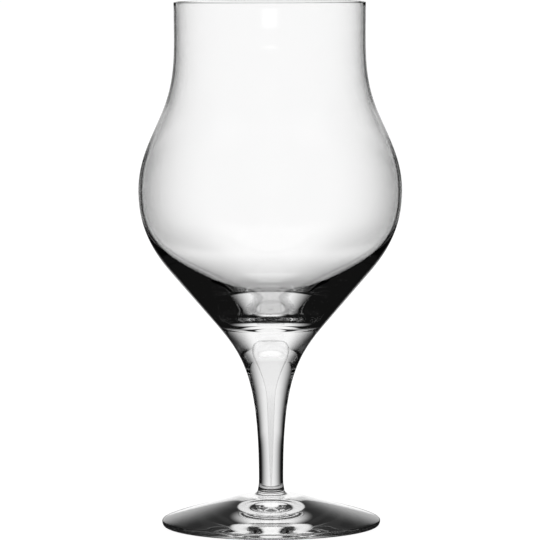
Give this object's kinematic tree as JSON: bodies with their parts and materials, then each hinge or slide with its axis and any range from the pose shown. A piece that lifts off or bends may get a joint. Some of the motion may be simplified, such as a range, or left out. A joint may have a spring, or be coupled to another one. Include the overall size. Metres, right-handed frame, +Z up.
{
  "type": "snifter glass",
  "caption": "Clear stemmed snifter glass: tulip bowl with a straight neck and heavy base, drawn stem enclosing a long satin drop, and a broad round foot.",
  "frame": {"origin": "centre of the foot's contact ring, on the surface that the glass stands on", "axes": "+Z up along the glass's axis of symmetry; X and Y are any two level directions"},
  "size_m": [0.0924, 0.0924, 0.184],
  "materials": {
    "clear_glass": "clear, fire polished",
    "satin_glass": "satin, whitish and translucent"
  },
  "bodies": {
    "root": {"bowl": "clear_glass", "stem": "clear_glass", "stem_drop": "satin_glass", "foot": "clear_glass"}
  },
  "joints": []
}
